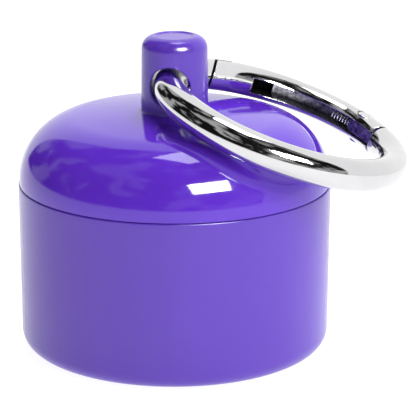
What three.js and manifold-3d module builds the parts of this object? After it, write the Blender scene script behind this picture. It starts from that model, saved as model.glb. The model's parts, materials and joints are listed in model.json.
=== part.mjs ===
// Screw-top capsule on a spring-gate ring.
//
// A round cup is closed by a domed lid. The lid's threaded plug screws into the cup's mouth and
// carries a flat sealing washer. A post on the dome has a cross hole, and a metal spring-gate ring
// hangs through it. The ring is an open hoop, closed by a gate that turns on a rivet and that a
// small coil spring holds shut.
//
// Millimetres, +Z up. The origin is the centre of the cup's flat base. The ring's own parts are
// laid out round the ring's centre: +X points away from the post, +Z is the ring's normal, and
// angles are counted from +X towards +Y, so the post stands at 180 degrees.

import * as THREE from "three";
import { mergeVertices } from "three/addons/utils/BufferGeometryUtils.js";
import Module from "manifold-3d";

const wasm = await Module();
wasm.setup();

const rad = THREE.MathUtils.degToRad;

// ---------------------------------------------------------------- driving dimensions
// Cup
const CUP_HEIGHT = 22.4;
const CUP_RIM_RADIUS = 20.8;
const CUP_DRAFT = 0.2; // the wall leans in this far from the rim to the base
const CUP_BASE_ROUND = 2.4;
const CUP_WALL = 1.7;
const CUP_FLOOR = 2;
const CUP_INNER_ROUND = 2;
const RIM_ROUND = 0.3;

// Lid
const LID_INSET = 0.12; // the lid's edge stands this far inside the cup's rim
const SEAM_GAP = 0.3; // open line between the lid's edge and the cup's rim
const LID_EDGE_HEIGHT = 0.5; // top of the lid's upright edge, above the rim
const LID_HEIGHT = 9.85; // crown above the rim
const SHOULDER_RADIUS = 8.55;
const LID_WALL = 1.6;
const PLUG_WALL = 1.4;
const PLUG_DEPTH = 6; // below the rim
const PLUG_CHAMFER = 0.4;

// Thread
const THREAD_PITCH = 3;
const THREAD_TURNS = 1.25;
const THREAD_RISE = 0.75; // height of a rib
const THREAD_CLEARANCE = 0.3;
const THREAD_BASE = 1.2; // width of a rib at its foot
const THREAD_TIP = 0.6;
const THREAD_START = -5; // middle of the lowest turn, from the rim
const THREAD_FOOT = 0.4; // how deep a rib is rooted in its wall

// Seal
const SEAL_THICKNESS = 1;
const SEAL_WIDTH = 1.6;
const SEAL_CLEARANCE = 0.1;
const SEAL_BORE_CLEARANCE = 0.2;

// Post and its cross hole
const POST_BASE_RADIUS = 4.45;
const POST_TOP_RADIUS = 4.36;
const POST_ROUND = 1.7;
const POST_FOOT = 0.25;
const DISC_RADIUS = 2.5; // shallow round recess in the post's top
const DISC_DEPTH = 0.12;
const HOLE_RISE = 3.75; // middle of the hole above the crown
const HOLE_ROOF = 3.5; // from the top of the hole to the top of the post
const HOLE_CLEARANCE = 0.06; // round the bent and askew wire that passes through it
const HOLE_BEARING = 9.8; // the hole's axis, degrees from +Y towards +X

// Ring
const RING_RADIUS = 15.55; // to the middle of the wire
const WIRE_DIAMETER = 4.2;
const REST_CLEARANCE = 0.25; // between the ring at rest and the lid's shoulder
const RING_YAW = 2; // degrees that the ring stands askew in its hole

// Gate, in degrees round the ring
const PIN_ANGLE = 52;
const NOSE_ANGLE = 140.5;
const LIP_ANGLE = 130;
const SLOT_END_ANGLE = 118.5;
const NOSE_GAP = 0.4;
const LIP_GAP = 0.3;
const CHEEK_WALL = 1.1; // from the slot to the side of the wire
const GATE_BACK_WALL = 0.85;
const CHEEK_REACH = 4; // from the pin to the end of the fork
const HINGE_GAP = 0.3;

// Hinge pin and tongue
const PIN_DIAMETER = 1;
const PIN_CLEARANCE = 0.1;
const PIN_HEAD_DIAMETER = 2.4;
const PIN_HEAD_THICKNESS = 0.4;
const PIN_HEAD_SINK = 0.65; // from the top of the wire to the seat of the pin's head
const TONGUE_CLEARANCE = 0.2;
const TONGUE_ROUND = 1;
const HEEL_REACH = 1.3;
const HEEL_DEPTH = 1.4;

// Spring
const SPRING_WIRE = 0.28;
const SPRING_SIDE_GAP = 0.24;
const SPRING_TURNS = 7;
const SPRING_INSET = 0.45; // from the middle of the wire towards the ring's centre
const SPRING_END_GAP = 0.25;
const SPRING_LENGTH = 3.4;
const WEB_THICKNESS = 0.6;
const WEB_TOP = 0.7;

// Facets
const ROUND_FACETS = 48;
const WIRE_FACETS = 20;
const SMALL_FACETS = 20;
const HOLE_FACETS = 32;
const CUT_FACETS = 120;
const DEGREES_PER_STEP = 6;
const STEPS_PER_COIL = 8;

// ---------------------------------------------------------------- sizes worked out from these
const CUP_BASE_RADIUS = CUP_RIM_RADIUS - CUP_DRAFT;
const LID_RADIUS = CUP_RIM_RADIUS - LID_INSET;
const BORE_RADIUS = CUP_RIM_RADIUS - CUP_WALL;
const CUP_CREST = BORE_RADIUS - THREAD_RISE;
const PLUG_RADIUS = CUP_CREST - THREAD_CLEARANCE;
const PLUG_CREST = BORE_RADIUS - THREAD_CLEARANCE;
const PLUG_BORE = PLUG_RADIUS - PLUG_WALL;
const SEAL_INNER = PLUG_RADIUS + SEAL_BORE_CLEARANCE;
const SEAL_OUTER = SEAL_INNER + SEAL_WIDTH;
const SEAL_POCKET_RADIUS = SEAL_OUTER + SEAL_CLEARANCE;
const SEAL_POCKET_TOP = SEAL_THICKNESS + 2 * SEAL_CLEARANCE;
const WIRE_RADIUS = WIRE_DIAMETER / 2;
const WIRE_SAG = RING_RADIUS - Math.sqrt(RING_RADIUS ** 2 - POST_BASE_RADIUS ** 2);
const WIRE_SKEW = POST_BASE_RADIUS * Math.sin(rad(RING_YAW));
const HOLE_RADIUS = WIRE_RADIUS + WIRE_SAG / 2 + WIRE_SKEW + HOLE_CLEARANCE;
const HOLE_HEIGHT = LID_HEIGHT + HOLE_RISE;
const POST_HEIGHT = HOLE_HEIGHT + HOLE_RADIUS + HOLE_ROOF;
const SLOT_WIDTH = WIRE_DIAMETER - 2 * CHEEK_WALL;
const SLOT_FLOOR = WIRE_RADIUS - GATE_BACK_WALL;
const PIN_RADIUS = PIN_DIAMETER / 2;
const EYE_RADIUS = PIN_RADIUS + PIN_CLEARANCE;
const SPOTFACE_HEIGHT = WIRE_RADIUS - PIN_HEAD_SINK;
const SPRING_COIL_RADIUS = (SLOT_WIDTH - SPRING_WIRE) / 2 - SPRING_SIDE_GAP;
const FAR = 3 * WIRE_DIAMETER; // reach of cutters that pass right through the wire

// ---------------------------------------------------------------- helpers
// A closed geometry as a solid for joining and cutting.
function solid(geometry) {
  const bare = geometry.clone();
  bare.deleteAttribute("normal");
  bare.deleteAttribute("uv");
  const merged = mergeVertices(bare);
  const index = Array.from(merged.index.array);
  const triVerts = [];
  for (let i = 0; i < index.length; i += 3) {
    const [a, b, c] = index.slice(i, i + 3);
    if (a !== b && b !== c && c !== a) triVerts.push(a, b, c);
  }
  return new wasm.Manifold(new wasm.Mesh({
    numProp: 3,
    vertProperties: Float32Array.from(merged.attributes.position.array),
    triVerts: Uint32Array.from(triVerts),
  }));
}

// A solid as a named mesh.
function piece(name, body, material) {
  const { vertProperties, triVerts } = body.getMesh();
  const geometry = new THREE.BufferGeometry();
  geometry.setAttribute("position", new THREE.BufferAttribute(vertProperties, 3));
  geometry.setIndex(new THREE.BufferAttribute(triVerts, 1));
  geometry.computeVertexNormals();
  const mesh = new THREE.Mesh(geometry, material);
  mesh.name = name;
  return mesh;
}

// Points of a round stretch of an outline, both ends included.
function arc(centreX, centreY, radius, fromDegrees, toDegrees, steps) {
  const points = [];
  for (let i = 0; i <= steps; i += 1) {
    const angle = rad(fromDegrees + ((toDegrees - fromDegrees) * i) / steps);
    points.push([centreX + radius * Math.cos(angle), centreY + radius * Math.sin(angle)]);
  }
  return points;
}

// An outline of [radius, height] turned round +Z.
function turned(outline, facets = ROUND_FACETS) {
  const profile = outline.map(([radius, height]) => new THREE.Vector2(radius, height));
  return solid(new THREE.LatheGeometry(profile, facets).rotateX(Math.PI / 2));
}

// An outline of [x, y] as a plate of the given thickness, half of it on each side of z = 0.
function plate(outline, thickness) {
  const shape = new THREE.Shape(outline.map(([x, y]) => new THREE.Vector2(x, y)));
  const geometry = new THREE.ExtrudeGeometry(shape, { depth: thickness, bevelEnabled: false });
  return solid(geometry.translate(0, 0, -thickness / 2));
}

// An outline of [outwards, along the axis] swept round +Z from one angle to another, rising as
// it goes. Extruding and then bending keeps the outline square to the sweep.
function swept(outline, radius, fromDegrees, toDegrees, steps, rise = 0) {
  const shape = new THREE.Shape(outline.map(([x, y]) => new THREE.Vector2(x, y)));
  const geometry = new THREE.ExtrudeGeometry(shape, { depth: 1, steps, bevelEnabled: false });
  const position = geometry.attributes.position;
  for (let i = 0; i < position.count; i += 1) {
    const share = 1 - position.getZ(i);
    const angle = rad(fromDegrees + share * (toDegrees - fromDegrees));
    const reach = radius + position.getX(i);
    const height = position.getY(i) + share * rise;
    position.setXYZ(i, reach * Math.cos(angle), reach * Math.sin(angle), height);
  }
  return solid(geometry);
}

// A cylinder along +Z, centred on [x, y].
function post([x, y], radius, height, middle = 0, facets = SMALL_FACETS) {
  const geometry = new THREE.CylinderGeometry(radius, radius, height, facets);
  return solid(geometry.rotateX(Math.PI / 2).translate(x, y, middle));
}

// ---------------------------------------------------------------- cup, seal and lid
// One helical rib of the thread. The cup's and the plug's are half a turn apart.
function threadRib(footRadius, crestRadius, turnDegrees) {
  const foot = footRadius + Math.sign(footRadius - crestRadius) * THREAD_FOOT;
  const outline = [
    [foot, -THREAD_BASE / 2],
    [footRadius, -THREAD_BASE / 2],
    [crestRadius, -THREAD_TIP / 2],
    [crestRadius, THREAD_TIP / 2],
    [footRadius, THREAD_BASE / 2],
    [foot, THREAD_BASE / 2],
  ];
  const end = turnDegrees + 360 * THREAD_TURNS;
  const steps = Math.round((360 * THREAD_TURNS) / DEGREES_PER_STEP);
  return swept(outline, 0, turnDegrees, end, steps, THREAD_PITCH * THREAD_TURNS)
    .translate([0, 0, CUP_HEIGHT + THREAD_START]);
}

function makeCup(material) {
  const base = CUP_BASE_RADIUS - CUP_BASE_ROUND;
  const innerBase = CUP_BASE_RADIUS - CUP_WALL - CUP_INNER_ROUND;
  const outline = [
    [0, 0],
    ...arc(base, CUP_BASE_ROUND, CUP_BASE_ROUND, -90, 0, 5),
    ...arc(CUP_RIM_RADIUS - RIM_ROUND, CUP_HEIGHT - RIM_ROUND, RIM_ROUND, 0, 90, 2),
    ...arc(BORE_RADIUS + RIM_ROUND, CUP_HEIGHT - RIM_ROUND, RIM_ROUND, 90, 180, 2),
    ...arc(innerBase, CUP_FLOOR + CUP_INNER_ROUND, CUP_INNER_ROUND, 0, -90, 4),
    [0, CUP_FLOOR],
  ];
  return piece("cup", turned(outline).add(threadRib(BORE_RADIUS, CUP_CREST, 0)), material);
}

function makeSeal(material) {
  const bottom = CUP_HEIGHT + SEAL_CLEARANCE;
  const top = bottom + SEAL_THICKNESS;
  const outline = [
    [SEAL_INNER, bottom],
    [SEAL_OUTER, bottom],
    [SEAL_OUTER, top],
    [SEAL_INNER, top],
    [SEAL_INNER, bottom],
  ];
  return piece("seal_ring", turned(outline), material);
}

// The dome is a shoulder arc and a much flatter crown arc that meet in a common tangent. The
// crown's radius follows from the lid's height.
function domeOutline(inset, crownEnd, shoulderSteps) {
  const centreX = LID_RADIUS - SHOULDER_RADIUS;
  const drop = LID_HEIGHT - LID_EDGE_HEIGHT - SHOULDER_RADIUS;
  const crown = SHOULDER_RADIUS + (centreX ** 2 + drop ** 2) / (2 * drop);
  const crownCentre = LID_HEIGHT - crown;
  const meet = THREE.MathUtils.radToDeg(Math.atan2(LID_EDGE_HEIGHT - crownCentre, centreX));
  const end = THREE.MathUtils.radToDeg(Math.acos(crownEnd / (crown - inset)));
  return {
    shoulder: (from) => arc(centreX, LID_EDGE_HEIGHT, SHOULDER_RADIUS - inset, from, meet, shoulderSteps),
    crown: arc(0, crownCentre, crown - inset, meet, end, 2).slice(1),
    centreX,
  };
}

function makeLid(material) {
  const outer = domeOutline(0, POST_BASE_RADIUS + POST_FOOT, 7);
  const inner = domeOutline(LID_WALL, 0, 4);
  const innerStart = Math.acos((PLUG_BORE - inner.centreX) / (SHOULDER_RADIUS - LID_WALL));
  const inside = [...inner.shoulder(THREE.MathUtils.radToDeg(innerStart)), ...inner.crown];
  const crownAtPost = outer.crown[outer.crown.length - 1][1];
  const outline = [
    ...inside.reverse(),
    [PLUG_BORE, -PLUG_DEPTH],
    [PLUG_RADIUS - PLUG_CHAMFER, -PLUG_DEPTH],
    [PLUG_RADIUS, PLUG_CHAMFER - PLUG_DEPTH],
    [PLUG_RADIUS, SEAL_POCKET_TOP],
    [SEAL_POCKET_RADIUS, SEAL_POCKET_TOP],
    [SEAL_POCKET_RADIUS, SEAM_GAP],
    [LID_RADIUS, SEAM_GAP],
    ...outer.shoulder(0),
    ...outer.crown,
    [POST_BASE_RADIUS, crownAtPost + POST_FOOT],
    ...arc(POST_TOP_RADIUS - POST_ROUND, POST_HEIGHT - POST_ROUND, POST_ROUND, 0, 90, 5),
    [DISC_RADIUS, POST_HEIGHT],
    [DISC_RADIUS - DISC_DEPTH, POST_HEIGHT - DISC_DEPTH],
    [0, POST_HEIGHT - DISC_DEPTH],
  ];
  const length = 4 * POST_BASE_RADIUS;
  const hole = new THREE.CylinderGeometry(HOLE_RADIUS, HOLE_RADIUS, length, HOLE_FACETS)
    .rotateZ(-rad(HOLE_BEARING))
    .translate(0, 0, HOLE_HEIGHT);
  const body = turned(outline).subtract(solid(hole)).translate([0, 0, CUP_HEIGHT]);
  return piece("lid", body.add(threadRib(PLUG_RADIUS, PLUG_CREST, 180)), material);
}

// ---------------------------------------------------------------- ring
const pinAt = [RING_RADIUS * Math.cos(rad(PIN_ANGLE)), RING_RADIUS * Math.sin(rad(PIN_ANGLE))];

function distanceFromPin(degrees, radius) {
  return Math.hypot(radius * Math.cos(rad(degrees)) - pinAt[0],
    radius * Math.sin(rad(degrees)) - pinAt[1]);
}

// The gate's free end and the hoop's nose are cut along circles round the pin, so the gate
// swings past the nose at a constant gap.
const gateEnd = distanceFromPin(NOSE_ANGLE, RING_RADIUS) - NOSE_GAP / 2;
const lipEnd = distanceFromPin(LIP_ANGLE, RING_RADIUS + LIP_GAP);

// A round wire bent round the ring's centre.
function wire(fromDegrees, toDegrees, radius = WIRE_RADIUS) {
  const outline = arc(0, 0, radius, 0, 360, WIRE_FACETS).slice(0, -1);
  const steps = Math.round((toDegrees - fromDegrees) / DEGREES_PER_STEP);
  return swept(outline, RING_RADIUS, fromDegrees, toDegrees, steps);
}

// A block between two distances from the ring's centre, over a range of angles.
function sector(inner, outer, fromDegrees, toDegrees, thickness) {
  const outline = [[inner, -thickness / 2], [outer, -thickness / 2], [outer, thickness / 2],
    [inner, thickness / 2]];
  const steps = Math.ceil((toDegrees - fromDegrees) / DEGREES_PER_STEP);
  return swept(outline, 0, fromDegrees, toDegrees, steps);
}

// Turns a solid laid out at the pin, +X towards the hoop's shoulder and +Y outwards, into place.
function atPin(body) {
  return body.rotate([0, 0, PIN_ANGLE - 90]).translate([pinAt[0], pinAt[1], 0]);
}

function makeHoop(material) {
  const noseZone = sector(1, RING_RADIUS + FAR, SLOT_END_ANGLE, NOSE_ANGLE + 30, FAR);
  const beyondLip = post(pinAt, lipEnd, FAR, 0, CUT_FACETS);
  const insideLip = post([0, 0], RING_RADIUS + LIP_GAP, FAR, 0, CUT_FACETS);
  const noseCut = post(pinAt, gateEnd + NOSE_GAP, FAR, 0, CUT_FACETS).intersect(insideLip);
  const shoulder = CHEEK_REACH + HINGE_GAP;
  const hingeCut = atPin(plate([[-FAR, -FAR], [shoulder, -FAR], [shoulder, FAR], [-FAR, FAR]], FAR));
  const tongueOutline = [
    ...arc(0, 0, TONGUE_ROUND, 90, 165, 4),
    [-HEEL_REACH, 0],
    [-HEEL_REACH, -HEEL_DEPTH],
    [shoulder + WIRE_RADIUS, -HEEL_DEPTH - PIN_RADIUS],
    [shoulder + WIRE_RADIUS, 0],
  ];
  const thickness = SLOT_WIDTH - 2 * TONGUE_CLEARANCE;
  const tongue = atPin(plate(tongueOutline, thickness).subtract(post([0, 0], EYE_RADIUS, FAR)));
  const nose = noseZone.intersect(beyondLip.add(noseCut));
  const body = wire(LIP_ANGLE - 10, 360 + PIN_ANGLE - 10)
    .subtract(nose)
    .subtract(sector(1, RING_RADIUS + FAR, LIP_ANGLE - 15, LIP_ANGLE - 5, FAR))
    .subtract(hingeCut.intersect(sector(1, RING_RADIUS + FAR, 0, PIN_ANGLE, FAR)))
    .add(tongue);
  return piece("ring_hoop", body, material);
}

function makeGate(material) {
  const reach = CHEEK_REACH;
  const fork = post([0, 0], reach, FAR, 0, 2 * SMALL_FACETS)
    .add(plate([[-reach, 0], [reach, 0], [reach, WIRE_DIAMETER], [-reach, WIRE_DIAMETER]], FAR));
  const beyondPin = sector(1, RING_RADIUS + FAR, 0, PIN_ANGLE, FAR).subtract(atPin(fork));
  const outsideTongue = sector(RING_RADIUS, RING_RADIUS + FAR, LIP_ANGLE - 15, NOSE_ANGLE + 20, FAR)
    .subtract(post(pinAt, lipEnd - LIP_GAP, FAR, 0, CUT_FACETS));
  const slot = sector(RING_RADIUS - FAR, RING_RADIUS + SLOT_FLOOR, 0, SLOT_END_ANGLE, SLOT_WIDTH);
  const springEnd = PIN_ANGLE + degreesAlong(HEEL_REACH + 2 * SPRING_END_GAP + SPRING_LENGTH);
  const webEnd = springEnd + degreesAlong(WEB_THICKNESS);
  const web = sector(RING_RADIUS - WEB_TOP, RING_RADIUS + WIRE_RADIUS - GATE_BACK_WALL / 2,
    springEnd, webEnd, SLOT_WIDTH + GATE_BACK_WALL);
  const headSeat = post([0, 0], PIN_HEAD_DIAMETER / 2 + PIN_CLEARANCE, FAR);
  const seats = headSeat.subtract(post([0, 0], PIN_HEAD_DIAMETER, 2 * SPOTFACE_HEIGHT));
  const body = wire(PIN_ANGLE - 20, NOSE_ANGLE + 12)
    .intersect(post(pinAt, gateEnd, FAR, 0, CUT_FACETS))
    .subtract(beyondPin)
    .subtract(outsideTongue)
    .subtract(slot)
    .add(web)
    .subtract(atPin(seats))
    .subtract(atPin(post([0, 0], EYE_RADIUS, FAR)));
  return piece("gate", body, material);
}

function makePin(material) {
  const body = post([0, 0], PIN_RADIUS, 2 * SPOTFACE_HEIGHT + PIN_HEAD_THICKNESS)
    .add(post([0, 0], PIN_HEAD_DIAMETER / 2, PIN_HEAD_THICKNESS, SPOTFACE_HEIGHT + PIN_CLEARANCE
      + PIN_HEAD_THICKNESS / 2))
    .add(post([0, 0], PIN_HEAD_DIAMETER / 2, PIN_HEAD_THICKNESS, -SPOTFACE_HEIGHT - PIN_CLEARANCE
      - PIN_HEAD_THICKNESS / 2));
  return piece("hinge_pin", atPin(body), material);
}

// Degrees round the ring that a length along the middle of the wire takes up.
function degreesAlong(length) {
  return THREE.MathUtils.radToDeg(length / RING_RADIUS);
}

// A coil whose axis follows the wire's bend.
class BentCoil extends THREE.Curve {
  constructor(fromDegrees, toDegrees) {
    super();
    this.fromDegrees = fromDegrees;
    this.toDegrees = toDegrees;
  }

  getPoint(share, target = new THREE.Vector3()) {
    const along = rad(this.fromDegrees + share * (this.toDegrees - this.fromDegrees));
    const turn = 2 * Math.PI * SPRING_TURNS * share;
    const reach = RING_RADIUS - SPRING_INSET + SPRING_COIL_RADIUS * Math.cos(turn);
    const height = SPRING_COIL_RADIUS * Math.sin(turn);
    return target.set(reach * Math.cos(along), reach * Math.sin(along), height);
  }
}

function makeSpring(material) {
  const start = PIN_ANGLE + degreesAlong(HEEL_REACH + SPRING_END_GAP);
  const path = new BentCoil(start, start + degreesAlong(SPRING_LENGTH));
  const outline = arc(0, 0, SPRING_WIRE / 2, 0, 360, 6).slice(0, -1);
  const shape = new THREE.Shape(outline.map(([x, y]) => new THREE.Vector2(x, y)));
  const steps = STEPS_PER_COIL * SPRING_TURNS;
  const geometry = new THREE.ExtrudeGeometry(shape, { extrudePath: path, steps, bevelEnabled: false });
  return piece("gate_spring", solid(geometry), material);
}

// ---------------------------------------------------------------- how the ring lies
// Gap between the dome and a ring that leans down by this angle: the ring's middle line is walked,
// and each of its points is measured to the nearest stretch of the dome's outline.
function gapToDome(leanDegrees) {
  const dome = domeOutline(0, POST_BASE_RADIUS + POST_FOOT, 24);
  const outline = [...dome.shoulder(0), ...dome.crown].map(([x, y]) => new THREE.Vector3(x, y, 0));
  const pose = ringPose(leanDegrees);
  let gap = Infinity;
  for (let degrees = 0; degrees < 360; degrees += 2) {
    const point = new THREE.Vector3(RING_RADIUS, 0, 0)
      .applyAxisAngle(new THREE.Vector3(0, 0, 1), rad(degrees))
      .applyMatrix4(pose);
    const flat = new THREE.Vector3(Math.hypot(point.x, point.y), point.z, 0);
    if (flat.x < POST_BASE_RADIUS + WIRE_DIAMETER) continue;
    for (let i = 1; i < outline.length; i += 1) {
      const nearest = new THREE.Line3(outline[i - 1], outline[i])
        .closestPointToPoint(flat, true, new THREE.Vector3());
      gap = Math.min(gap, nearest.distanceTo(flat) - WIRE_RADIUS);
    }
  }
  return gap;
}

// The ring's place in the hole, in the lid's axes, with the rim at z = 0.
function ringPose(leanDegrees) {
  const shift = new THREE.Matrix4().makeTranslation(RING_RADIUS - WIRE_SAG / 2, 0, 0);
  const askew = new THREE.Matrix4().makeRotationZ(-rad(RING_YAW));
  const lean = new THREE.Matrix4().makeRotationY(rad(leanDegrees));
  const bearing = new THREE.Matrix4().makeRotationZ(-rad(HOLE_BEARING));
  const hole = new THREE.Matrix4().makeTranslation(0, 0, HOLE_HEIGHT);
  return hole.multiply(bearing).multiply(lean).multiply(askew).multiply(shift);
}

// The ring swings down from level until it lies on the shoulder.
function restingLean() {
  let high = 0;
  let low = 60;
  while (low - high > 0.001) {
    const middle = (high + low) / 2;
    if (gapToDome(middle) > REST_CLEARANCE) high = middle;
    else low = middle;
  }
  return high;
}

// ---------------------------------------------------------------- assembly
const plastic = new THREE.MeshStandardMaterial({ color: 0x5a35c4, roughness: 0.18, metalness: 0 });
const silicone = new THREE.MeshStandardMaterial({ color: 0x2a2730, roughness: 0.6, metalness: 0 });
const chrome = new THREE.MeshStandardMaterial({ color: 0xd8dadd, roughness: 0.08, metalness: 1 });
const steel = new THREE.MeshStandardMaterial({ color: 0x8a8c90, roughness: 0.3, metalness: 1 });

const ring = new THREE.Group();
ring.add(makeHoop(chrome), makeGate(chrome), makePin(steel), makeSpring(steel));
ringPose(restingLean()).decompose(ring.position, ring.quaternion, ring.scale);

const onRim = new THREE.Group();
onRim.position.z = CUP_HEIGHT;
onRim.add(ring);

const capsule = new THREE.Group();
capsule.add(makeCup(plastic), makeSeal(silicone), makeLid(plastic), onRim);

export default capsule;
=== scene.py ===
# %% [markdown]
# # A screw-top capsule on a spring-gate ring
#
# A small moulded capsule hangs from a metal ring. The cup and the domed lid are purple plastic,
# polished on the dome, and satin on the cup and on the lid's post. The ring is plated zinc, with a
# gate that turns on a rivet and that a small spring holds shut. This lesson builds the fine surface
# of every piece round a fixed frame, which already knows where each piece sits and how it moves.

# %% Load the frame
import json
import math

import bpy
from mathutils import Matrix, Vector


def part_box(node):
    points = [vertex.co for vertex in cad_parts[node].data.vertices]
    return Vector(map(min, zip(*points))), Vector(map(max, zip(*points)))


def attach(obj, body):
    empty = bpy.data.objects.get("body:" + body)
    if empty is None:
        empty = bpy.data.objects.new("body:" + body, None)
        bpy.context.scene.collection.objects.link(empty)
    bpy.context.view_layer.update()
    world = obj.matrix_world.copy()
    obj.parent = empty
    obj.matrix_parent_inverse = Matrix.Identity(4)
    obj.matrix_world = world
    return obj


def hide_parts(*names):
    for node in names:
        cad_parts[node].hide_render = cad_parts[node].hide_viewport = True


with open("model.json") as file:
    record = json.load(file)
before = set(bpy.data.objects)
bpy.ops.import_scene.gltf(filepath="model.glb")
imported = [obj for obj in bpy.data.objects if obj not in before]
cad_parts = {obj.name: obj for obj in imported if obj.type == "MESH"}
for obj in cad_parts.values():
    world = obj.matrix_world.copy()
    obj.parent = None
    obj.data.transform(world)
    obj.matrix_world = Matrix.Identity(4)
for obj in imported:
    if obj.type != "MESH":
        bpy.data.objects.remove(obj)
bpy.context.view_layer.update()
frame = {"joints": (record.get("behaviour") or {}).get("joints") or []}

joints = {joint["name"]: joint for joint in frame["joints"]}
MM = 0.001

# %% [markdown]
# ## Where things are
#
# Heights come from the frame: the cup's box gives the rim, and the joints give the middle of the
# post's hole, the gate's rivet and the ring's tilt. Only sizes that no box shows, such as walls
# and roundings, are written here.

# %% Heights and radii from the frame, in metres
cup_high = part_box("cup")[1]
lid_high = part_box("lid")[1]
seal_low, seal_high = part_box("seal_ring")
RIM_RADIUS = cup_high.x
RIM_HEIGHT = cup_high.z
LID_RADIUS = lid_high.x
POST_TOP = lid_high.z
print("rim", round(RIM_RADIUS / MM, 2), "at", round(RIM_HEIGHT / MM, 2), "post top", round(POST_TOP / MM, 2))

# %% The ring's own axes
# The hole's axis lies in the ring's plane, and the gate's pivot stands square to that plane.
RING_RADIUS = 15.55 * MM
WIRE_RADIUS = 2.1 * MM
PIN_ANGLE = 52
RING_YAW = 2
POST_RADIUS = 4.45 * MM
normal = Vector(joints["gate_pivot"]["axis"]).normalized()
hole_axis = -Vector(joints["ring_swing"]["axis"]).normalized()
hole_centre = Vector(joints["ring_swing"]["pos_m"])
downhill = hole_axis.cross(normal)
yaw = math.radians(RING_YAW)
ring_x = math.cos(yaw) * downhill - math.sin(yaw) * hole_axis
ring_y = normal.cross(ring_x)
sag = RING_RADIUS - math.sqrt(RING_RADIUS ** 2 - POST_RADIUS ** 2)
ring_centre = hole_centre + (RING_RADIUS - sag / 2) * ring_x
RING = Matrix.Translation(ring_centre) @ Matrix((ring_x, ring_y, normal)).transposed().to_4x4()


def on_ring(degrees, radius=RING_RADIUS):
    """A point in the ring's plane, at an angle round its centre."""
    return Vector((radius * math.cos(math.radians(degrees)), radius * math.sin(math.radians(degrees)), 0))


PIN = on_ring(PIN_ANGLE)
miss = (RING @ PIN - Vector(joints["gate_pivot"]["pos_m"])).length
print("the ring's axes put the rivet", round(miss / MM, 3), "mm from its joint")

# %% [markdown]
# ## The camera
#
# The capsule is seen from the front and a little above, through a long lens, so that its wall
# looks almost parallel. A parallel camera would be simpler, but a lens keeps the small change of
# size from the near side of the ring to the far side.

# %% Camera
CAMERA_AWAY = 0.30853
CAMERA_ABOVE_RIM = 0.0858
CAMERA_PITCH = 0.2828
CAMERA_YAW = 0.0144
CAMERA_ROLL = -0.0024
CAMERA_LENS = 207.69
camera = bpy.data.objects.new("camera", bpy.data.cameras.new("camera"))
camera.data.lens = CAMERA_LENS
camera.data.sensor_width = 36
camera.data.clip_start = 0.01
level = math.cos(CAMERA_PITCH)
forward = Vector((math.sin(CAMERA_YAW) * level, math.cos(CAMERA_YAW) * level, -math.sin(CAMERA_PITCH)))
right = Vector((math.cos(CAMERA_YAW), -math.sin(CAMERA_YAW), 0))
up = right.cross(forward)
roll = Matrix.Rotation(CAMERA_ROLL, 3, forward)
camera.matrix_world = (
    Matrix.Translation((0, -CAMERA_AWAY, RIM_HEIGHT + CAMERA_ABOVE_RIM))
    @ Matrix((roll @ right, roll @ up, -forward)).transposed().to_4x4()
)
bpy.context.scene.collection.objects.link(camera)
bpy.context.scene.camera = camera
bpy.context.scene.view_settings.view_transform = "Standard"
print("camera at", [round(value, 3) for value in camera.location])

# %% [markdown]
# ## Making meshes
#
# Turned pieces are drawn as half a cross-section and turned round the upright axis. That gives
# clean rows of four-sided faces, which a glossy finish needs, because it shows every uneven one.

# %% Helpers for turned pieces
def arc(centre_x, centre_y, radius, start, end, steps):
    """Points of a round stretch of an outline, both ends included, angles in degrees."""
    angles = [math.radians(start + (end - start) * i / steps) for i in range(steps + 1)]
    return [(centre_x + radius * math.cos(a), centre_y + radius * math.sin(a)) for a in angles]


def line(start, end, steps):
    """Points of a straight stretch, without its ends."""
    return [tuple(a + (b - a) * i / steps for a, b in zip(start, end)) for i in range(1, steps)]


def mesh_object(name, points, faces):
    mesh = bpy.data.meshes.new(name)
    mesh.from_pydata(points, [], faces)
    mesh.validate()
    piece = bpy.data.objects.new(name, mesh)
    bpy.context.scene.collection.objects.link(piece)
    return piece


def turned(name, outline, facets=192, closed=False):
    """Turns an outline of (radius, height) round +Z. An open outline starts and ends on the axis."""
    points, rows = [], []
    for radius, height in outline:
        if radius < 1e-9:
            rows.append([len(points)] * facets)
            points.append((0, 0, height))
            continue
        rows.append(list(range(len(points), len(points) + facets)))
        for i in range(facets):
            a = 2 * math.pi * i / facets
            points.append((radius * math.cos(a), radius * math.sin(a), height))
    if closed:
        rows.append(rows[0])
    faces = []
    for low, high in zip(rows, rows[1:]):
        for i in range(facets):
            j = (i + 1) % facets
            corners = [low[i], low[j], high[j], high[i]]
            face = [c for k, c in enumerate(corners) if c != corners[k - 1]]
            if len(face) > 2:
                faces.append(face)
    return mesh_object(name, points, faces)


def shade(piece, degrees=32):
    """Smooth shading, with real edges kept sharp."""
    piece.data.shade_smooth()
    piece.data.set_sharp_from_angle(angle=math.radians(degrees))
    return piece


# %% Helpers for cutting and joining
def applied(piece):
    """Turns what the modifiers make into the piece's own plain mesh."""
    graph = bpy.context.evaluated_depsgraph_get()
    mesh = bpy.data.meshes.new_from_object(piece.evaluated_get(graph))
    mesh.name = piece.name
    piece.modifiers.clear()
    piece.data = mesh
    return piece


def cut(piece, tool, operation="DIFFERENCE"):
    """Cuts a tool out of a piece, or joins or intersects them, and removes the tool."""
    modifier = piece.modifiers.new("cut", "BOOLEAN")
    modifier.operation = operation
    modifier.solver = "EXACT"
    modifier.object = tool
    bpy.context.view_layer.update()
    applied(piece)
    bpy.data.objects.remove(tool)
    return piece


def placed(piece, matrix):
    piece.data.transform(matrix)
    return piece


# %% [markdown]
# ## Nodes that make geometry
#
# The ring's wire, the threads and the spring all follow a path, so each is a small Geometry Nodes
# tree: a path, a section swept along it, and a material. They could be built point by point, but a
# tree keeps the path, the section and the number of turns apart, as inputs with names. One function
# adds those inputs and another reads the finished mesh out of the tree.

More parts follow.
